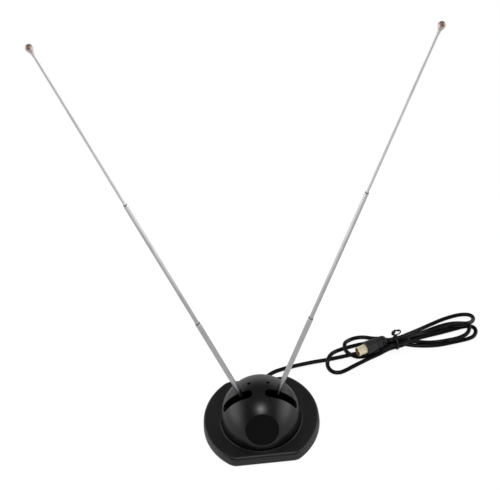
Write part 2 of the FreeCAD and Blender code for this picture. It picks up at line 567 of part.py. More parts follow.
for hand in ("left", "right"):
    sign = "-" if hand == "left" else ""
    # Knuckle: flat eye, collar and shank
    body = turned(hand + "_knuckle", [
        ("0", "0"), ("knuckle_thick / 2", "0"), ("knuckle_thick / 2", "shank_start * 0.6"),
        ("tube_one / 2", "shank_start * 0.75"), ("tube_one / 2", "shank_start"),
        (BORE_ONE + " - screw_clear", "shank_start"), (BORE_ONE + " - screw_clear", "shank_start + shank_length"),
        ("0", "shank_start + shank_length")])
    eye = new_sketch(body, hand + "_eye", "XZ_Plane")
    draw_circles(eye, [("0", "0")], "knuckle_radius")
    add_pad(body, eye, "knuckle_thick", middle=True)
    doc.recompute()
    eye_hole = new_sketch(body, hand + "_eye_hole", "XZ_Plane")
    draw_circles(eye_hole, [("0", "0")], "pivot_radius + run_clear")
    add_pocket(body, eye_hole, "knuckle_thick * 3", middle=True)
    lean(body, hand)
    lean(turned(hand + "_tube_1", [
        (BORE_ONE, "shank_start"), ("tube_one / 2", "shank_start"), ("tube_one / 2", END_ONE + " - crimp_length"),
        (MOUTH_ONE + " + tube_wall * 0.9", END_ONE), (MOUTH_ONE, END_ONE), (BORE_ONE, END_ONE + " - crimp_length")]),
        hand)
    lean(turned(hand + "_tube_2", [
        (BORE_TWO, FOOT_TWO), (BORE_ONE + " - run_clear", FOOT_TWO),
        (BORE_ONE + " - run_clear", FOOT_TWO + " + foot_length * 0.8"), ("tube_two / 2", FOOT_TWO + " + foot_length"),
        ("tube_two / 2", END_TWO + " - crimp_length"), (MOUTH_TWO + " + tube_wall * 0.9", END_TWO),
        (MOUTH_TWO, END_TWO), (BORE_TWO, END_TWO + " - crimp_length")]), hand)
    lean(turned(hand + "_tube_3", [
        (BORE_THREE, FOOT_THREE), (BORE_TWO + " - run_clear", FOOT_THREE),
        (BORE_TWO + " - run_clear", FOOT_THREE + " + foot_length * 0.8"),
        ("tube_three / 2", FOOT_THREE + " + foot_length"), ("tube_three / 2", NECK), (BORE_THREE, NECK)]), hand)
    lean(turned(hand + "_tip", [
        ("0", NECK + " - foot_length"), (BORE_THREE + " - screw_clear", NECK + " - foot_length"),
        (BORE_THREE + " - screw_clear", NECK), ("tube_three / 2 + 0.1", NECK),
        ("tube_three / 2 + 0.15", NECK + " + tip_length * 0.12"),
        ("tube_three * 0.25 + tip_radius * 0.25 + 0.15", NECK + " + tip_length * 0.3"),
        ("tip_radius * 0.64", NECK + " + tip_length * 0.42"), ("tip_radius * 0.9", NECK + " + tip_length * 0.52"),
        ("tip_radius", NECK + " + tip_length * 0.64"), ("tip_radius * 0.98", NECK + " + tip_length * 0.76"),
        ("tip_radius * 0.8", NECK + " + tip_length * 0.9"), ("tip_radius * 0.45", NECK + " + tip_length * 0.985"),
        ("0", END_THREE)]),
        hand)
    # Pivot screw from the front cheek to the back one, its spring washer and its nut
    SCREW_TURN = "rotation(vector(1; 0; 0); -90)"
    BACK = "-slot_forward + " + CHEEK_OUT
    GRIP = "(%s) * 2 + washer_thick" % CHEEK_OUT
    screw = turned(hand + "_pivot_screw", [
        ("0", "-pivot_head_height"), ("pivot_head_radius * 0.8", "-pivot_head_height"),
        ("pivot_head_radius", "-pivot_head_height * 0.6"), ("pivot_head_radius", "0"), ("pivot_radius", "0"),
        ("pivot_radius", GRIP + " + nut_height + 0.6"), ("pivot_radius * 0.7", GRIP + " + nut_height + 1"),
        ("0", GRIP + " + nut_height + 1")])
    place(screw, sign + "pivot_side", "%s - (%s)" % (MID, CHEEK_OUT) + " - washer_thick", PIVOT_Z, SCREW_TURN)
    washer = turned(hand + "_spring_washer", [
        ("pivot_radius + screw_clear", "0"), ("pivot_head_radius * 0.95", "0"),
        ("pivot_head_radius * 0.95", "washer_thick"), ("pivot_radius + screw_clear", "washer_thick")])
    place(washer, sign + "pivot_side", "%s - (%s)" % (MID, CHEEK_OUT) + " - washer_thick", PIVOT_Z, SCREW_TURN)
    hexagon = doc.addObject("Part::Prism", hand + "_hexagon")
    hexagon.Polygon = 6
    bind(hexagon, "Circumradius", "nut_radius")
    bind(hexagon, "Height", "nut_height")
    place(hexagon, sign + "pivot_side", BACK, PIVOT_Z, SCREW_TURN)
    thread = cylinder(hand + "_thread", "pivot_radius + screw_clear", "nut_height * 3")
    place(thread, sign + "pivot_side", BACK + " - nut_height", PIVOT_Z, SCREW_TURN)
    keep(cut(hand + "_nut", hexagon, thread), hand + "_pivot_nut")

# Plug at the cord's far end, built with its mouth down and then laid on the hank
GRIP_START = "barrel_length"
GRIP_END = "barrel_length + grip_length"
PLUG_TURN = "rotation(vector(0; 0; 1); plug_turn_deg) * rotation(vector(0; 1; 0); 90)"


def lay_plug(thing):
    place(thing, "plug_mouth_x", "plug_mouth_y", "plug_height", PLUG_TURN)


grooves = []
for share, slope in ((0.7, 0.657), (0.84, 0.817)):
    at = "%s + grip_length * %s" % (GRIP_START, share)
    wall = "(grip_radius * %.4f + grip_waist * %.4f)" % (0.99 - 0.99 * slope, slope)
    after = "(grip_radius * %.4f + grip_waist * %.4f)" % (0.91 - 0.99 * slope, slope + 0.08)
    grooves.append((wall, at))
    grooves.append((wall + " - groove_depth", at + " + 0.2"))
    grooves.append((after + " - groove_depth", at + " + 1"))
    grooves.append((after, at + " + 1.2"))
slits = []
for share in (0.1, 0.38):
    at = "%s + relief_length * %s" % (GRIP_END, share)
    slits.append(("grip_waist * %.3f" % (1 - 0.1 * share), at))
    slits.append(("grip_waist * %.3f - slit_depth" % (1 - 0.1 * share), at + " + 0.1"))
    slits.append(("grip_waist * %.3f - slit_depth - 0.1" % (1 - 0.1 * share), at + " + relief_length * 0.14"))
    slits.append(("grip_waist * %.3f" % (0.985 - 0.1 * share), at + " + relief_length * 0.14 + 0.1"))
lay_plug(turned("plug_overmould", [
    ("0", GRIP_START + " + barrel_seat"), ("barrel_radius - seat_step + screw_clear", GRIP_START + " + barrel_seat"),
    ("barrel_radius - seat_step + screw_clear", GRIP_START + " + screw_clear"),
    ("grip_radius - 0.7", GRIP_START + " + screw_clear"), ("grip_radius", GRIP_START + " + 0.7"),
    ("grip_radius * 0.99", GRIP_START + " + 2.2")] + grooves + [("grip_waist", GRIP_END)] + slits + [
    ("grip_waist * 0.86", GRIP_END + " + relief_length * 0.74"),
    ("grip_waist * 0.7", GRIP_END + " + relief_length * 0.9"),
    ("relief_radius", GRIP_END + " + relief_length"), ("0", GRIP_END + " + relief_length")]))
lay_plug(turned("plug_shell", [
    ("barrel_radius - barrel_wall", "0"), ("barrel_radius - barrel_wall * 0.4", "0"),
    ("barrel_radius", "barrel_wall"), ("barrel_radius", GRIP_START), ("barrel_radius - seat_step", GRIP_START),
    ("barrel_radius - seat_step", GRIP_START + " + barrel_seat"),
    ("barrel_radius - seat_step - barrel_wall", GRIP_START + " + barrel_seat"),
    ("barrel_radius - seat_step - barrel_wall", GRIP_START + " - barrel_wall"),
    ("barrel_radius - barrel_wall", GRIP_START + " - barrel_wall")]))
INSULATOR_BACK = GRIP_START + " - barrel_wall - screw_clear"
lay_plug(turned("plug_insulator", [
    ("pin_radius + screw_clear", INSULATOR_BACK + " - insulator_thick"),
    ("barrel_radius - barrel_wall - screw_clear", INSULATOR_BACK + " - insulator_thick"),
    ("barrel_radius - barrel_wall - screw_clear", INSULATOR_BACK), ("pin_radius + screw_clear", INSULATOR_BACK)]))
lay_plug(turned("plug_pin", [
    ("0", "pin_inset"), ("pin_radius * 0.5", "pin_inset + 0.1"), ("pin_radius", "pin_inset + 1"),
    ("pin_radius", GRIP_START + " + barrel_seat * 0.8"), ("0", GRIP_START + " + barrel_seat * 0.8")]))

# Hank of cord: low loops on the left, higher ones on the right and a round waist where it is tied
WAIST_X, WAIST_Y, WAIST_DEG, WAIST_LENGTH = 143.8, 93.2, 13.5, 23.6
LEFT_LOOPS = [(140, 89), (113, 72.6), (95, 62.7), (83.5, 56.4), (75.5, 56.8), (68.9, 64.5), (69, 70.4), (70.2, 72.96),
              (69.4, 78.1), (77, 86), (86.2, 91.4), (89.6, 97.2), (96, 103.6), (104.5, 106.2), (119.5, 105.7), (139, 102)]
RIGHT_LOOPS = [(148, 90), (158, 86.6), (175, 83.6), (188, 84.7), (203, 89), (217, 92.2), (225, 96), (229.4, 102),
               (229.6, 107), (227, 112), (230.8, 119), (230, 124.6), (223.5, 128.8), (215.6, 129.3), (205, 127.8),
               (194.4, 124.6), (173, 115.2), (150, 104)]


def loops(name, corners, height):
    body = doc.addObject("PartDesign::Body", name + "_body")
    sketch = new_sketch(body, name, "XY_Plane")
    count = len(corners)
    for i in range(count):
        start = FreeCAD.Vector(corners[i][0], corners[i][1], 0)
        end = FreeCAD.Vector(corners[(i + 1) % count][0], corners[(i + 1) % count][1], 0)
        sketch.addGeometry(Part.LineSegment(start, end))
    for i in range(count):
        sketch.addConstraint(Sketcher.Constraint("Coincident", i, 2, (i + 1) % count, 1))
        sketch.addConstraint(Sketcher.Constraint("Block", i))
    add_pad(body, sketch, height)
    return body


waist = cylinder("waist", "waist_radius", str(WAIST_LENGTH))
turn = math.radians(WAIST_DEG)
WAIST_TURN = "rotation(vector(0; 0; 1); %s) * rotation(vector(0; 1; 0); 90)" % WAIST_DEG
place(waist, str(WAIST_X - WAIST_LENGTH / 2 * math.cos(turn)), str(WAIST_Y - WAIST_LENGTH / 2 * math.sin(turn)),
      "waist_height", WAIST_TURN)
keep(fuse("hank", [loops("left_loops", LEFT_LOOPS, "hank_low"), loops("right_loops", RIGHT_LOOPS, "hank_high"),
                   waist]), "cord_hank")

# Wire tie round the waist with a standing ring, both of an eight-sided section
def wire_ring(node, radius):
    half = "tie_wire * 0.414"
    outline = [("tie_wire", "-" + half), ("tie_wire", half), (half, "tie_wire"), ("-" + half, "tie_wire"),
               ("-tie_wire", half), ("-tie_wire", "-" + half), ("-" + half, "-tie_wire"), (half, "-tie_wire")]
    return turned(node, [("%s + (%s)" % (radius, across), up) for across, up in outline], kept=False)


band = wire_ring("tie_band", "waist_radius + tie_wire + screw_clear")
place(band, str(WAIST_X), str(WAIST_Y), "waist_height", WAIST_TURN)
ear = wire_ring("tie_ear_ring", "tie_ear")
place(ear, str(WAIST_X), str(WAIST_Y), "waist_height + waist_radius + tie_wire * 1.6 + tie_ear + screw_clear",
      "rotation(vector(0; 0; 1); %s) * rotation(vector(1; 0; 0); 90)" % WAIST_DEG)
doc.recompute()


# Cord from the grommet to the hank: straight runs joined by the largest tangent arcs that fit
def cord_path(points):
    edges = []
    last = points[0]
    for before, corner, after in zip(points, points[1:], points[2:]):
        arrive = (corner - before).normalize()
        leave = (after - corner).normalize()
        half = arrive.getAngle(leave) / 2
        shorter = min((corner - before).Length, (after - corner).Length)
        reach = 0.45 * shorter
        radius = reach / math.tan(half)
        print("cord radius %.1f" % radius)
        begin = corner - arrive * reach
        end = corner + leave * reach
        inward = (leave - arrive).normalize()
        middle = corner + inward * (radius / math.cos(half) - radius)
        edges.append(Part.LineSegment(last, begin).toShape())
        edges.append(Part.Arc(begin, middle, end).toShape())
        last = end
    edges.append(Part.LineSegment(last, points[-1]).toShape())
    return Part.Wire(edges)


exit_turn = math.radians(value("exit_deg"))
mouth = FreeCAD.Vector(value("exit_side + grommet_outside * cos(exit_deg * 1 deg)"),
                       value(EXIT_Y + " + grommet_outside * sin(exit_deg * 1 deg)"), value("exit_height"))
ROUTE = [mouth,
         mouth + FreeCAD.Vector(5.2, 5.4, -0.3),
         FreeCAD.Vector(22.0, 65.4, 3.2),
         FreeCAD.Vector(38.0, 70.2, 2.15),
         FreeCAD.Vector(54.5, 73.4, 2.15),
         FreeCAD.Vector(64.5, 74.7, 2.15),
         FreeCAD.Vector(69.65, 75.5, 2.15)]
path = cord_path(ROUTE)
along = (ROUTE[1] - ROUTE[0]).normalize()
section = Part.Wire(Part.Circle(ROUTE[0], along, value("cord_radius")).toShape())
tube = Part.Wire(path).makePipeShell([section], True, True)
lead = doc.addObject("Part::Feature", "lead")
lead.Shape = tube
keep(lead, "cord_lead")
share = tube.Volume / (math.pi * value("cord_radius") ** 2 * path.Length)
print("cord lead length %.1f, volume share %.4f" % (path.Length, share))
if abs(share - 1) > 0.01:
    raise RuntimeError("the cord's tube has the wrong volume")
keep(fuse("tie", [band, ear]), "hank_tie")

# Check every piece, then write it
doc.recompute()
for thing in doc.Objects:
    if "Invalid" in thing.State or "Error" in thing.State:
        raise RuntimeError("%s failed: %s" % (thing.Label, thing.State))
for thing in finished:
    if thing.Shape.isNull() or not thing.Shape.isValid() or thing.Shape.Volume <= 0:
        raise RuntimeError("bad shape in " + thing.Label)
for thing in finished:
    thing.Shape.exportStep("parts/%s.step" % thing.Label)
    print("%-22s solids %d volume %.1f" % (thing.Label, len(thing.Shape.Solids), thing.Shape.Volume))
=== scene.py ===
# %% [markdown]
# # An indoor television aerial, dressed for the camera
# The real object is a black plinth, round with a flat front and back, and a slotted ball sunk in it.
# Two chrome telescopic rods stand in the slots. A thin coaxial lead comes out of the back and lies
# beside it in a tied hank, with its plug on top. The imported CAD model is the fixed frame, and gives
# every hard piece its shape and place. This lesson adds what CAD leaves out: the loose cord, the wire
# tie, the finishes, the floor and the light.

# %% Load the frame, with each piece's place baked into its mesh
import math

import bpy
from mathutils import Matrix, Vector


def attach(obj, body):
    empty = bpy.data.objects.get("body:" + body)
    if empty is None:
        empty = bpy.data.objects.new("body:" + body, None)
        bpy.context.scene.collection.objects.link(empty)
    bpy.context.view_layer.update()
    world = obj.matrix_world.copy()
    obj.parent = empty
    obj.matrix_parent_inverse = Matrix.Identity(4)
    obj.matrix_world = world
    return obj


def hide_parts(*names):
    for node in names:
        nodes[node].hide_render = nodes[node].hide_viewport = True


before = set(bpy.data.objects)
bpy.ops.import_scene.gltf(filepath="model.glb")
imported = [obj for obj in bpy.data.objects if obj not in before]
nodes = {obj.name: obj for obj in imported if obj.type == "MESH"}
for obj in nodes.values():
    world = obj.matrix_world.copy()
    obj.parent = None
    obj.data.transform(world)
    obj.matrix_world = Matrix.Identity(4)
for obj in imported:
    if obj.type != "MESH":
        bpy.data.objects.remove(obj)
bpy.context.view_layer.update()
scene = bpy.context.scene

# %% [markdown]
# ## Camera
# The photograph was taken from in front and well above, with the camera turned a little on its own
# axis. A camera can be placed by eye, but then the rods never line up. Here its place was worked out
# from points that can be found both in the photograph and on the model, such as the rod joints, the
# tips and the corners of the plinth. An aim point, two angles, a turn and a distance say where it
# stands, and the lens follows from the picture's width.

# %% Where the camera stands
AIM = Vector((0.00424, -0.00587, 0.24111))
AROUND, ABOVE, TURN_OVER = 0.0406, 0.7334, 0.0885
AWAY = 0.72422
back_axis = Vector((math.sin(AROUND) * math.cos(ABOVE), -math.cos(AROUND) * math.cos(ABOVE),
                    math.sin(ABOVE)))
level = Vector((0, 0, 1)).cross(back_axis).normalized()
upright = back_axis.cross(level)
right_axis = level * math.cos(TURN_OVER) - upright * math.sin(TURN_OVER)
up_axis = level * math.sin(TURN_OVER) + upright * math.cos(TURN_OVER)
eye = AIM + back_axis * AWAY
print("camera at", [round(v, 4) for v in eye])

# %% Camera
SENSOR = 36
FOCAL_PIXELS = 914.07
PICTURE_WIDTH = 500
lens = bpy.data.cameras.new("front_camera")
lens.sensor_width = SENSOR
lens.lens = FOCAL_PIXELS * SENSOR / PICTURE_WIDTH
lens.clip_start = 0.01
camera = bpy.data.objects.new("front_camera", lens)
stand_point = Matrix((right_axis, up_axis, back_axis)).transposed().to_4x4()
stand_point.translation = eye
camera.matrix_world = stand_point
scene.collection.objects.link(camera)
scene.camera = camera
print("lens", round(lens.lens, 2), "mm")

# %% [markdown]
# ## Cord
# The lead is about a metre of round PVC jacket, 4.2 mm thick. It leaves the plinth through a grommet,
# lies along the floor, and is folded into a loose hank that a wire tie holds in the middle. Two loops
# fan out to the left and three to the right, and the plug lies on top. A chain of straight tubes would
# look like bent wire. One NURBS spline of order 3 runs smoothly along its control points instead, so
# the whole lead, hank and all, is one long line of points in millimetres, walked from the grommet to
# the plug. Where strands cross, the upper one gets two raised points, one on each side of the crossing.

# %% Places of the strands inside the tie
CORD = 0.0042
MM_PER_METRE = 1000
HANK_TURN = math.radians(13.5)
STRAND_RING = 4.25
STRAIGHT_RUN = 7
waist = Vector((142.0, 88.7, 7.5))
along = Vector((math.cos(HANK_TURN), math.sin(HANK_TURN), 0))
across = Vector((-along.y, along.x, 0))


def through_tie(clock, going_right):
    # Three points in a row carry a strand straight through the tie, at one place of the ring of six
    angle = math.radians(clock)
    place = waist + across * (STRAND_RING * math.cos(angle)) + Vector((0, 0, STRAND_RING * math.sin(angle)))
    row = [place - along * STRAIGHT_RUN, place, place + along * STRAIGHT_RUN]
    return [tuple(p) for p in (row if going_right else reversed(row))]


print("hank is tied at", [round(v, 1) for v in waist], "mm")

# %% The lead and the lower loops
line = [(6.17, 54.72, 4.7), (11.37, 60.12, 4.4), (22, 65.4, 3.2), (38, 70.2, 2.15), (54.5, 73.4, 2.15),
        (64.5, 74.7, 2.15), (69.65, 75.5, 2.15)]
# On under the plug to the tie
line += [(80, 77.4, 2.1), (91, 79.6, 2.1), (101, 81.8, 2.1), (112, 84.4, 2.1), (124, 86.6, 2.15),
         (132, 87.6, 2.3)]
line += through_tie(270, True)
# Lower right loop
line += [(159, 88.4, 2.2), (167, 87.2, 2.1), (174, 86.6, 2.1), (182, 86.4, 2.1), (190, 87.2, 2.1),
         (198, 88.8, 2.1), (205.5, 90.2, 2.1), (212.7, 91.8, 2.1), (218.8, 93.2, 2.1),
         (224.6, 96.2, 2.1), (228.2, 102.4, 2.1), (227.3, 108.4, 2.1), (222.4, 110.8, 2.1),
         (215.5, 110.2, 2.1), (208.5, 108.3, 2.1), (194, 104.4, 2.1), (183, 101.8, 2.1),
         (171, 98.4, 2.9), (157, 92.4, 5.2)]
line += through_tie(210, False)
# Large lower left loop
line += [(131, 82.8, 3.4), (123, 78.8, 2.2), (113.5, 74.6, 2.1), (104, 69.4, 2.1), (95.5, 64.8, 2.1),
         (88.5, 60.6, 2.1), (81.6, 57.4, 2.1), (75, 58.2, 2.1), (70.6, 62.8, 2.1), (69.2, 68.6, 3.2),
         (70.6, 73.0, 6.5), (74.2, 79.4, 6.5), (79.6, 85.0, 3.6), (87, 89.2, 2.1), (96, 91.6, 2.1),
         (106, 94, 2.1), (117, 95.4, 2.1), (127.5, 94.2, 3.2)]
line += through_tie(330, True)
print("points so far", len(line))

# %% The upper loops, on to the plug
# Inner right loop
line += [(159, 99.0, 4.4), (172.8, 105.0, 2.4), (185, 110.4, 2.1), (196, 114.2, 2.1), (206.5, 116, 2.1),
         (215.8, 115, 2.4), (220.8, 110.8, 5.6), (221, 102.6, 6.6), (217, 96.2, 6.2), (211, 92.8, 6.2),
         (204.5, 90.4, 6.3), (198, 89.8, 5.8), (191.5, 91, 3.0), (184.5, 91, 2.1), (176, 91, 2.1),
         (167, 90.8, 4.0), (157.5, 89.6, 7.8)]
line += through_tie(150, False)
# Small upper left loop
line += [(129.4, 83.6, 6.4), (122.8, 81.6, 3.0), (116, 79.6, 2.1), (108, 77.2, 2.1), (101, 76.4, 2.3),
         (95, 77.2, 5.4), (91, 79.8, 6.6), (89, 84.0, 6.4), (88.7, 88.8, 6.6), (90, 94.0, 6.2),
         (93.4, 99.0, 3.0), (98.6, 102.4, 2.1), (105, 103.8, 2.1), (112, 103.4, 2.1),
         (119.5, 100.8, 2.3), (128, 96.8, 6.2)]
line += through_tie(30, True)
# Upper right loop, and back over the others
line += [(157, 99.8, 7.4), (165.6, 106.2, 4.2), (174, 111.8, 2.1), (184.4, 116.8, 2.1),
         (195, 121.8, 2.1), (205.5, 125.4, 2.1), (214.5, 127.6, 2.1), (221.6, 127.8, 2.1),
         (227.0, 126.2, 2.1), (229.2, 121.8, 2.1), (227.2, 116.6, 3.2), (223.2, 110.8, 7.2),
         (217.8, 107, 10.4), (211.5, 107, 8.8), (205.5, 109.6, 6.2), (198.5, 110.2, 3.2),
         (191, 108.4, 2.4), (182, 105.6, 2.4), (172.8, 102.2, 3.8), (161, 96.2, 8.4)]
line += through_tie(90, False)
# The end inside the plug's grip
line += [(131.56, 90.09, 11.6)]
line = [Vector(p) / MM_PER_METRE for p in line]
print("cord points", len(line))

# %% [markdown]
# A round wire could be a curve object with a bevel, left as it is. But a curve's own box is too large
# for measuring, so here the curve is only a guide. Read once with no bevel it gives the centre line, and
# read once with a bevel it gives the round jacket as a mesh. The spline's order and end setting come
# after its points, because set before, they fall back to straight runs.

# %% A guide curve along a line of points
CURVE_STEPS = 5


def guide_curve(name, places):
    curve = bpy.data.curves.new(name, "CURVE")
    curve.dimensions = "3D"
    curve.resolution_u = CURVE_STEPS
    spline = curve.splines.new("NURBS")
    spline.points.add(len(places) - 1)
    for point, place in zip(spline.points, places):
        point.co = (*place, 1)
    spline.order_u = 3
    spline.use_endpoint_u = True
    return bpy.data.objects.new(name, curve)


# %% From the guide to a round wire


def round_wire(name, places, thickness, roundness):
    # Gives the piece, the points of its centre line, and its length
    guide = guide_curve(name + "_guide", places)
    centre = [v.co.copy() for v in bpy.data.meshes.new_from_object(guide).vertices]
    guide.data.bevel_depth = thickness / 2
    guide.data.bevel_resolution = roundness
    guide.data.use_fill_caps = True
    wire_mesh = bpy.data.meshes.new_from_object(guide)
    wire_mesh.name = name
    wire_mesh.shade_smooth()
    bpy.data.objects.remove(guide)
    wire_piece = bpy.data.objects.new(name, wire_mesh)
    scene.collection.objects.link(wire_piece)
    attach(wire_piece, "stand")
    length = sum((b - a).length for a, b in zip(centre, centre[1:]))
    print(name, "length", round(length, 4), "faces", len(wire_mesh.polygons))
    return wire_piece, centre, length


cord, cord_centre, cord_length = round_wire("aerial_cord", line, CORD, 4)
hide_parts("cord_lead", "cord_hank")

# %% [markdown]
# ## Wire tie
# The hank is held by a short black wire with a thin plastic skin. It goes twice round the bundle, then
# its ends are bent into a loose standing ring and wound round themselves at one side. A torus would look
# like a washer, so the wire is one more line of points: two slightly slanted turns round the waist, a
# ring walked nearly twice, a little smaller and to one side the second time, and last a knot of small
# turns on the ring's left side.

# %% Two turns round the hank
WIRE = 0.0013
TURN_STEPS = 24
TURN_REACH = 7.05
TURN_SLANT = 0.7
TURN_LIFT = Vector((0, 0, 0.2))
wire = []
for step in range(2 * TURN_STEPS + 1):
    share = step / TURN_STEPS
    angle = 2 * math.pi * share + math.pi / 2
    middle = waist + TURN_LIFT + along * (-TURN_SLANT + TURN_SLANT * share)
    beside = middle + across * (TURN_REACH * math.cos(angle))
    wire.append(beside + Vector((0, 0, TURN_REACH * math.sin(angle))))
print("tie points", len(wire))

# %% Standing ring
RING_STEPS = 26
RING_POINTS = 46
RING_REACH = 3.8
RING_WIDTH = 1.12
FIRST_ROUND = 0.7
SHRINK = 1.1
ASIDE, DRIFT = 0.3, 0.75
ring_middle = waist + Vector((1.2, 3.2, 10.9))
for step in range(RING_POINTS):
    share = step / RING_STEPS
    angle = -math.pi / 2 - 2 * math.pi * share
    reach = RING_REACH - SHRINK * max(0, share - FIRST_ROUND)
    beside = ring_middle + along * (reach * RING_WIDTH * math.cos(angle))
    wire.append(beside + Vector((0, 0, reach * math.sin(angle))) + across * (ASIDE + DRIFT * share))
print("tie points", len(wire))

# %% Knot on the ring's left side
KNOT_STEPS = 40
KNOT_START, KNOT_SPAN = 120, 90
KNOT_TURNS = 3.5
KNOT_REACH = 1.3
KNOT_ASIDE = 1.0
KNOT_ON_RING = 3.6
for step in range(1, KNOT_STEPS + 1):
    share = step / KNOT_STEPS
    angle = math.radians(KNOT_START + KNOT_SPAN * share)
    winding = math.radians(360 * KNOT_TURNS * share)
    outward = along * math.cos(angle) + Vector((0, 0, math.sin(angle)))
    place = ring_middle + across * (KNOT_ASIDE + KNOT_REACH * math.sin(winding))
    place += along * (KNOT_ON_RING * RING_WIDTH * math.cos(angle))
    place += Vector((0, 0, KNOT_ON_RING * math.sin(angle)))
    wire.append(place + outward * (KNOT_REACH * math.cos(winding)))
tie = round_wire("wire_tie", [place / MM_PER_METRE for place in wire], WIRE, 3)[0]
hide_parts("hank_tie")

# %% [markdown]
# ## What the cord is
# A lead is a fixed length of something flexible, and a later user may want to lay it another way. Its
# facts are left to be read off the mesh. A mesh has no line of its own; the points read from the guide
# give the centre line and the length, which is printed, but they are not kept with it.

# %% [markdown]
# ## Finishes
# Every finish is a small node graph on the Principled shader. Painted images would need a flat map of
# each piece, so the detail comes from noise in object coordinates instead. A fine noise gives each
# moulding its grain, and a coarser one lets tone and gloss wander a little. Object coordinates are in
# metres, so a scale of 1000 is a grain of about a millimetre.

# %% Helpers for tone and gloss
# Most of a noise lies between these two numbers
NOISE_LOW, NOISE_HIGH = 0.3, 0.7


def new_finish(name):
    finish = bpy.data.materials.new(name)
    finish.use_nodes = True
    tree = finish.node_tree
    shader = tree.nodes["Principled BSDF"]
    where = tree.nodes.new("ShaderNodeTexCoord")
    return finish, tree, shader, where.outputs["Object"]


def noise(tree, where, scale, detail):
    grain = tree.nodes.new("ShaderNodeTexNoise")
    grain.inputs["Scale"].default_value = scale
    grain.inputs["Detail"].default_value = detail
    tree.links.new(where, grain.inputs["Vector"])
    return grain.outputs["Fac"]


def spread(tree, source, low, high, start=NOISE_LOW, stop=NOISE_HIGH, smooth=False):
    # A number that goes from start to stop comes out going from low to high
    scale = tree.nodes.new("ShaderNodeMapRange")
    if smooth:
        scale.interpolation_type = "SMOOTHSTEP"
    for slot, number in (("From Min", start), ("From Max", stop), ("To Min", low), ("To Max", high)):
        scale.inputs[slot].default_value = number
    tree.links.new(source, scale.inputs["Value"])
    return scale.outputs["Result"]


def two_tone(tree, source, dark, light):
    ramp = tree.nodes.new("ShaderNodeValToRGB")
    tones = ((NOISE_LOW, dark), (NOISE_HIGH, light))
    for element, (position, colour) in zip(ramp.color_ramp.elements, tones):
        element.position = position
        element.color = (*colour, 1)
    tree.links.new(source, ramp.inputs["Fac"])
    return ramp.outputs["Color"]


# %% [markdown]
# A bump turns the grain into relief. Real mouldings also have slightly rounded edges, and the CAD ones
# are sharp. Rounding them in the mesh would change the CAD pieces, so a bevel node softens them by a few
# tenths of a millimetre for the light alone, and they catch a thin line as real ones do.

# %% Helpers for relief and for mouldings
EDGE_SAMPLES = 6
WANDER_SCALE = 60


def relief(tree, shader, source, depth, strength=1.0, edge=0.0):
    bump = tree.nodes.new("ShaderNodeBump")
    bump.inputs["Strength"].default_value = strength
    bump.inputs["Distance"].default_value = depth
    tree.links.new(source, bump.inputs["Height"])
    if edge:
        soft_edge = tree.nodes.new("ShaderNodeBevel")
        soft_edge.samples = EDGE_SAMPLES
        soft_edge.inputs["Radius"].default_value = edge
        tree.links.new(soft_edge.outputs["Normal"], bump.inputs["Normal"])
    tree.links.new(bump.outputs["Normal"], shader.inputs["Normal"])


def moulded(name, dark, light, gloss, grain, depth, level=0.5, edge=0.0):
    # A moulded plastic or rubber: two close tones, wandering gloss, fine relief
    finish, tree, shader, where = new_finish(name)
    fine = noise(tree, where, grain, 3)
    wander = noise(tree, where, WANDER_SCALE, 3)
    tree.links.new(two_tone(tree, wander, dark, light), shader.inputs["Base Color"])
    tree.links.new(spread(tree, wander, *gloss), shader.inputs["Roughness"])
    shader.inputs["Specular IOR Level"].default_value = level
    relief(tree, shader, fine, depth, edge=edge)
    return finish


def dress(finish, *names):
    for name in names:
        piece = nodes[name] if isinstance(name, str) else name
        piece.data.materials.clear()
        piece.data.materials.append(finish)
    print(finish.name, "on", len(names))


# %% [markdown]
# Some pieces get painted light or shade in one place: a painted highlight on the plinth's lip, painted
# shade in the plug's bore and at the rods' mouths, and painted reflections at a rod's foot and tip. Each
# could be a piece of its own, but then it might come apart when the rods move. Here the shader measures
# where a point lies, along an axis or away from it, and mixes a second colour in by that measure. The
# measure is read in the piece's own frame, so it stays put at every pose.

# %% Helpers for a second colour


def measure(finish, *steps):
    # Takes a point of the piece through vector steps, and gives the number that the last one makes
    tree = finish.node_tree
    flow = tree.nodes["Texture Coordinate"].outputs["Object"]
    for operation, other in steps:
        step = tree.nodes.new("ShaderNodeVectorMath")
        step.operation = operation
        if other is not None:
            step.inputs[1].default_value = other
        tree.links.new(flow, step.inputs[0])
        flow = step.outputs[0]
    return step.outputs["Value"]


def distance(finish, centre, axis):
    # Metres from the centre along the axis
    return measure(finish, ("SUBTRACT", centre), ("DOT_PRODUCT", axis))


def off_axis(finish, centre, axis):
    # Metres away from the line through the centre: the length of a cross product
    return measure(finish, ("SUBTRACT", centre), ("CROSS_PRODUCT", axis), ("LENGTH", None))


def blend(finish, share, other):
    # Lets another colour take over where the share is high. The Mix node's colour sockets go by type
    tree = finish.node_tree
    colour = tree.nodes["Principled BSDF"].inputs["Base Color"]
    mix = tree.nodes.new("ShaderNodeMix")
    mix.data_type = "RGBA"
    first, second = [s for s in mix.inputs if s.type == "RGBA"]
    second.default_value = (*other, 1)
    tree.links.new(share, mix.inputs[0])
    tree.links.new(colour.links[0].from_socket, first)
    tree.links.new([s for s in mix.outputs if s.type == "RGBA"][0], colour)


# %% [markdown]
# ## Plastics
# The plinth is a matt spark-eroded moulding, and the thin lip round the ball's seat has a painted pale
# highlight. The ball is a satin moulding, and the small disc in its front is duller again. Each could have
# a graph of its own, but they come from the same process, so one helper makes them all, and only tone,
# gloss and grain differ.

# %% Plinth, ball and disc
# Radii of the plinth's lip, and the pale grey of the painted highlight on it
LIP_INSIDE, LIP_OUTSIDE = 0.0387, 0.0391
LIP_HIGHLIGHT_GREY = (0.08, 0.077, 0.073)


def grey(tone):
    return (tone, tone, tone)


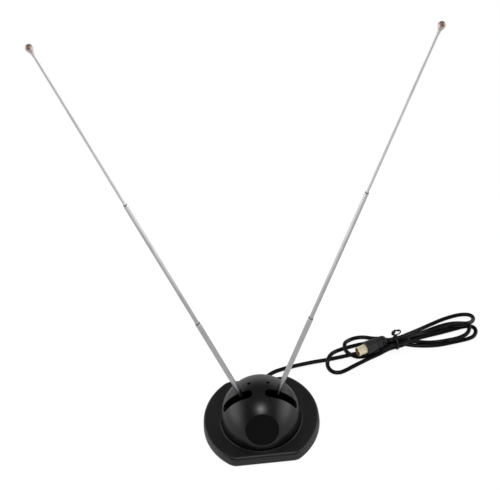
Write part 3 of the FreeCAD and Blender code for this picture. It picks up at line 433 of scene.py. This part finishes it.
plinth_black = moulded("plinth_black", grey(0.005), grey(0.0075), gloss=(0.38, 0.46), grain=1500,
                       depth=0.00008, edge=0.0004)
# The pale lip is a painted highlight, mixed in by the distance from the ball's axis
from_ball = off_axis(plinth_black, (0, 0, 0), (0, 0, 1))
lip_highlight = spread(plinth_black.node_tree, from_ball, 1.0, 0.0, LIP_INSIDE, LIP_OUTSIDE)
blend(plinth_black, lip_highlight, LIP_HIGHLIGHT_GREY)
dress(plinth_black, "base_shell")
ball_black = moulded("ball_black", (0.0025, 0.0025, 0.0027), (0.004, 0.004, 0.0042), gloss=(0.31, 0.36),
                     grain=420, depth=0.000015, level=0.48, edge=0.0004)
dress(ball_black, "ball_shell")
disc_black = moulded("disc_black", grey(0.002), grey(0.003), gloss=(0.6, 0.7), grain=1900, depth=0.0001,
                     level=0.12, edge=0.0002)
dress(disc_black, "front_disc")

# %% [markdown]
# The cord's jacket and the tie's skin are soft PVC, black with a narrow sheen. The plug's grip is a
# greyer rubber with a coarser grain, and the core inside its barrel is a brown insulator. The pieces
# inside the ball and under the plinth are seldom seen, and get plain finishes from the same helper.

# %% Cord, tie, plug and inner pieces
cord_jacket = moulded("cord_jacket", (0.0014, 0.0014, 0.0015), (0.0026, 0.0026, 0.0027),
                      gloss=(0.34, 0.42), grain=900, depth=0.00002, level=0.22)
dress(cord_jacket, "cord_grommet", cord)
tie_skin = moulded("tie_skin", grey(0.002), grey(0.004), gloss=(0.3, 0.4), grain=1200, depth=0.00002,
                   level=0.4)
dress(tie_skin, tie)
grip_grey = moulded("grip_grey", (0.014, 0.014, 0.0143), (0.02, 0.02, 0.0203), gloss=(0.46, 0.56),
                    grain=1500, depth=0.00008, level=0.4, edge=0.0002)
dress(grip_grey, "plug_overmould")
plug_core = moulded("plug_core", (0.2, 0.13, 0.05), (0.26, 0.18, 0.07), gloss=(0.4, 0.5), grain=1200,
                    depth=0.00004)
dress(plug_core, "plug_insulator")
inner_black = moulded("inner_black", grey(0.006), grey(0.01), gloss=(0.5, 0.6), grain=900,
                      depth=0.00005, level=0.3)
dress(inner_black, "rod_carrier", "base_plate")
foam_pad = moulded("foam_pad", grey(0.012), grey(0.025), gloss=(0.85, 0.95), grain=1100, depth=0.0004)
dress(foam_pad, "anti_slip_pad")

# %% [markdown]
# ## Metals
# The rods are drawn brass tube with bright chrome on it, so they carry very fine lines along their
# length. Each tube has a thin ring of painted shade at its rolled mouth, where it grips the next, the
# lowest one has a painted dark reflection towards the slot, and the tips have a painted brown reflection
# at the end. The lines could be modelled, but they are finer than a pixel, so they are a noise squeezed
# along the rod's own lean. The painted rings and ends are second colours, placed by the distance from the
# rod's pivot.

# %% Metal helpers
DRAW_LINES = (900, 900, 12)
LINE_DEPTH, LINE_STRENGTH = 0.00001, 0.4
PATCH_SCALE = 90


def plated(name, dark, light, gloss, lean=0.0, metal=1.0):
    # A plated metal with fine draw lines along its length and cloudy tone
    finish, tree, shader, where = new_finish(name)
    turned = tree.nodes.new("ShaderNodeMapping")
    turned.inputs["Rotation"].default_value = (0, math.radians(lean), 0)
    tree.links.new(where, turned.inputs["Vector"])
    squeezed = tree.nodes.new("ShaderNodeMapping")
    squeezed.inputs["Scale"].default_value = DRAW_LINES
    tree.links.new(turned.outputs["Vector"], squeezed.inputs["Vector"])
    lines = noise(tree, squeezed.outputs["Vector"], 1.0, 2)
    patches = noise(tree, where, PATCH_SCALE, 3)
    tree.links.new(two_tone(tree, patches, dark, light), shader.inputs["Base Color"])
    shader.inputs["Metallic"].default_value = metal
    tree.links.new(spread(tree, lines, *gloss), shader.inputs["Roughness"])
    relief(tree, shader, lines, LINE_DEPTH, LINE_STRENGTH)
    return finish


def shade_end(finish, pivot, axis, start, stop, other):
    # Another colour takes over along a rod, from one distance from its pivot to another
    far = distance(finish, pivot, axis)
    blend(finish, spread(finish.node_tree, far, 0.0, 1.0, start, stop), other)


# %% Tones of the rods and places along them
CHROME = {"dark": (0.58, 0.58, 0.59), "light": (0.68, 0.68, 0.69), "gloss": (0.16, 0.26)}
NICKEL = {"dark": (0.6, 0.56, 0.53), "light": (0.68, 0.64, 0.61), "gloss": (0.34, 0.42)}
# Grey of the painted shade ring at each tube's mouth
MOUTH_SHADE_GREY = (0.2, 0.2, 0.2)
# Grey of the painted dark reflection at the lowest tube's foot
FOOT_REFLECTION_GREY = (0.15, 0.16, 0.18)
# Brown of the painted reflection at each tip's end
TIP_REFLECTION_BROWN = (0.42, 0.33, 0.28)
# Metres from the pivot to the foot's painted dark reflection and to each tube's mouth, then back from a
# mouth or an end
FOOT_CLEAR, FOOT_DARK = 0.062, 0.04
MOUTHS = {"_tube_1": 0.1415, "_tube_2": 0.2833}
RING_START, RING_FULL = 0.0008, 0.0004
BROWN_START, BROWN_FULL = 0.0042, 0.0018
# Which hand, which side, and how many degrees the rod leans at rest
RODS = (("left", -1, 16.9), ("right", 1, 18.6))
PIVOT_ASIDE, PIVOT_Y, PIVOT_Z = 0.0058, -0.004, 0.0172
print("rods lean", [lean for hand, side, lean in RODS], "degrees")

# %% Chrome on the rods
for hand, side, lean in RODS:
    pivot = Vector((side * PIVOT_ASIDE, PIVOT_Y, PIVOT_Z))
    axis = Vector((side * math.sin(math.radians(lean)), 0, math.cos(math.radians(lean))))
    rod_chrome = plated(hand + "_chrome", **CHROME, lean=-side * lean)
    dress(rod_chrome, hand + "_knuckle", hand + "_tube_3")
    for tube, mouth in MOUTHS.items():
        tube_chrome = plated(hand + tube + "_chrome", **CHROME, lean=-side * lean)
        # A thin ring of painted shade just below each tube's mouth
        shade_end(tube_chrome, pivot, axis, mouth - RING_START, mouth - RING_FULL, MOUTH_SHADE_GREY)
        if tube == "_tube_1":
            # Painted dark reflection on the lowest tube, growing towards the slot
            shade_end(tube_chrome, pivot, axis, FOOT_CLEAR, FOOT_DARK, FOOT_REFLECTION_GREY)
        dress(tube_chrome, hand + tube)
    tip = nodes[hand + "_tip"]
    top = max((tip.matrix_world @ v.co - pivot).dot(axis) for v in tip.data.vertices)
    tip_nickel = plated(hand + "_tip_nickel", **NICKEL)
    # Painted brown reflection over the last few millimetres of the tip
    shade_end(tip_nickel, pivot, axis, top - BROWN_START, top - BROWN_FULL, TIP_REFLECTION_BROWN)
    dress(tip_nickel, hand + "_tip")
    print(hand, "tip ends", round(top, 4), "m from its pivot")

# %% [markdown]
# The plug's barrel and pin have a thin gold flash. On the barrel it is cloudy enough to spread the lamp
# over its whole length, and the bore gets painted brown shade. The bore's inner wall is the same CAD
# piece as the barrel, so it too is found by its distance from the plug's axis. The screws, washers and
# nuts inside the ball are zinc, and the weight under them is plain pressed steel.

# %% Other metals
PLUG_TURN = math.radians(25.6)
BORE_INSIDE, BORE_OUTSIDE = 0.0043, 0.0046
BORE_SHADE_BROWN = (0.34, 0.22, 0.1)
gold_plate = plated("gold_plate", (0.95, 0.82, 0.58), (1.0, 0.91, 0.7), (0.36, 0.46), metal=0.6)
plug_axis = (math.cos(PLUG_TURN), math.sin(PLUG_TURN), 0)
# Painted brown shade in the bore, by the distance from the plug's axis
from_plug_axis = off_axis(gold_plate, line[-1], plug_axis)
bore_shade = spread(gold_plate.node_tree, from_plug_axis, 1.0, 0.0, BORE_INSIDE, BORE_OUTSIDE)
blend(gold_plate, bore_shade, BORE_SHADE_BROWN)
dress(gold_plate, "plug_shell")
gold_pin = plated("gold_pin", (0.9, 0.76, 0.5), (0.96, 0.84, 0.6), (0.25, 0.35))
dress(gold_pin, "plug_pin")
zinc = plated("zinc", (0.5, 0.5, 0.5), (0.6, 0.6, 0.58), (0.3, 0.42))
dress(zinc, "base_screws", "carrier_screws", "left_pivot_screw", "right_pivot_screw",
      "left_spring_washer", "right_spring_washer", "left_pivot_nut", "right_pivot_nut")
weight_steel = plated("weight_steel", (0.36, 0.36, 0.37), (0.45, 0.45, 0.46), (0.35, 0.5))
dress(weight_steel, "ballast_disc")

# %% [markdown]
# ## Floor
# The object stands on a white sweep. Lamps strong enough to burn a plain floor out to white would also
# burn the object, so the floor is a pale diffuse plane, and only for rays that come straight from the
# camera is most of it a plain white glow. The rest still takes the light, and keeps a trace of shadow.
# Shiny pieces mirror the floor too. On the real set it is dimmer close round the object and towards the
# camera's side, which makes one flank of each rod grey and the other white, so mirrored rays see a glow
# that falls off there.

# %% Floor
HALF = 4.0
BELOW = 0.0003
floor_mesh = bpy.data.meshes.new("floor")
corners = [(-HALF, -HALF, 0), (HALF, -HALF, 0), (HALF, HALF, 0), (-HALF, HALF, 0)]
floor_mesh.from_pydata(corners, [], [(0, 1, 2, 3)])
floor = bpy.data.objects.new("floor", floor_mesh)
floor.location.z = -BELOW
scene.collection.objects.link(floor)
floor_white, tree, shader, where = new_finish("floor_white")
shader.inputs["Base Color"].default_value = (0.82, 0.82, 0.82, 1)
shader.inputs["Roughness"].default_value = 0.9
shader.inputs["Specular IOR Level"].default_value = 0.1
floor_mesh.materials.append(floor_white)
print("floor", HALF * 2, "m across")

# %% Floor's glow
NEAR_GLOW, FAR_GLOW = 0.56, 1.15
NEAR_TO_FAR = (0.28, 0.6)
FRONT_SHARE = 0.55
FRONT_FADE = (-0.8, -0.3)
SEEN_GLOW, SEEN_SHARE = 1.14, 0.73


def calculate(tree, operation, first, second):
    step = tree.nodes.new("ShaderNodeMath")
    step.operation = operation
    for slot, source in enumerate((first, second)):
        if isinstance(source, (int, float)):
            step.inputs[slot].default_value = source
        else:
            tree.links.new(source, step.inputs[slot])
    return step.outputs[0]


rays = tree.nodes.new("ShaderNodeLightPath").outputs
split = tree.nodes.new("ShaderNodeSeparateXYZ")
tree.links.new(where, split.inputs[0])
from_middle = measure(floor_white, ("LENGTH", None))
round_object = spread(tree, from_middle, NEAR_GLOW, FAR_GLOW, *NEAR_TO_FAR, smooth=True)
to_front = spread(tree, split.outputs["Y"], FRONT_SHARE, 1.0, *FRONT_FADE, smooth=True)
mirrored = calculate(tree, "MULTIPLY", round_object, to_front)
mirrored = calculate(tree, "MULTIPLY", mirrored, rays["Is Glossy Ray"])
seen = calculate(tree, "MULTIPLY", rays["Is Camera Ray"], SEEN_GLOW)
glow = tree.nodes.new("ShaderNodeEmission")
tree.links.new(calculate(tree, "ADD", mirrored, seen), glow.inputs["Strength"])
shares = calculate(tree, "MULTIPLY", rays["Is Camera Ray"], SEEN_SHARE)
shares = calculate(tree, "ADD", shares, rays["Is Glossy Ray"])
mix = tree.nodes.new("ShaderNodeMixShader")
tree.links.new(shares, mix.inputs["Fac"])
tree.links.new(shader.outputs[0], mix.inputs[1])
tree.links.new(glow.outputs[0], mix.inputs[2])
tree.links.new(mix.outputs[0], tree.nodes["Material Output"].inputs["Surface"])
print("floor glow mirrored", NEAR_GLOW, "to", FAR_GLOW)

# %% [markdown]
# ## Light
# The sky stands for the studio. Real boxes and walls could be built round the object, but the world's
# own nodes do the same with less. Diffuse rays meet an even room light, at which a colour renders about
# as it is written. Mirrored rays meet low white walls that fade towards the camera, a dark ceiling, and
# a bright box far out on each side, which draw the pale sheen on both sides of the ball. The camera
# itself sees plain white. One soft round lamp hangs above, a little in front, for the ball's small
# highlight.

# %% Sky
WALL, CEILING = 0.7, 0.15
WALL_TOP = (0.22, 0.52)
FRONT_WALL = 0.2
WALL_FADE = (-0.5, 0.15)
SIDE_BOX = 1.7
BOX_EDGE = (0.68, 0.95)
ROOM_LIGHT = 0.7
sky = bpy.data.worlds.new("studio")
scene.world = sky
sky.use_nodes = True
tree = sky.node_tree
where = tree.nodes.new("ShaderNodeTexCoord").outputs["Generated"]
split = tree.nodes.new("ShaderNodeSeparateXYZ")
tree.links.new(where, split.inputs[0])
walls = spread(tree, split.outputs["Z"], WALL, CEILING, *WALL_TOP, smooth=True)
not_front = spread(tree, split.outputs["Y"], FRONT_WALL, 1.0, *WALL_FADE, smooth=True)
to_side = calculate(tree, "ABSOLUTE", split.outputs["X"], 0)
side_boxes = spread(tree, to_side, 0.0, SIDE_BOX, *BOX_EDGE, smooth=True)
studio = calculate(tree, "ADD", calculate(tree, "MULTIPLY", walls, not_front), side_boxes)
rays = tree.nodes.new("ShaderNodeLightPath").outputs
mirrored = calculate(tree, "MULTIPLY", studio, rays["Is Glossy Ray"])
room = calculate(tree, "MULTIPLY", rays["Is Diffuse Ray"], ROOM_LIGHT)
strength = calculate(tree, "ADD", calculate(tree, "ADD", mirrored, room), rays["Is Camera Ray"])
tree.links.new(strength, tree.nodes["Background"].inputs["Strength"])
tree.nodes["Background"].inputs["Color"].default_value = (1, 1, 1, 1)
sky.cycles.sampling_method = "NONE"
print("room light", ROOM_LIGHT)

# %% Lamp
LAMP_PLACE = Vector((0.06, -0.54, 1.25))
LAMP_AIM = Vector((0, 0, 0.05))
soft_box = bpy.data.lights.new("soft_box", "AREA")
soft_box.shape = "DISK"
soft_box.size = 0.35
soft_box.energy = 5
lamp = bpy.data.objects.new("soft_box", soft_box)
lamp.location = LAMP_PLACE
lamp.rotation_euler = (LAMP_PLACE - LAMP_AIM).to_track_quat("Z", "Y").to_euler()
scene.collection.objects.link(lamp)
scene.view_settings.view_transform = "Standard"
print("lamp", soft_box.energy, "W")
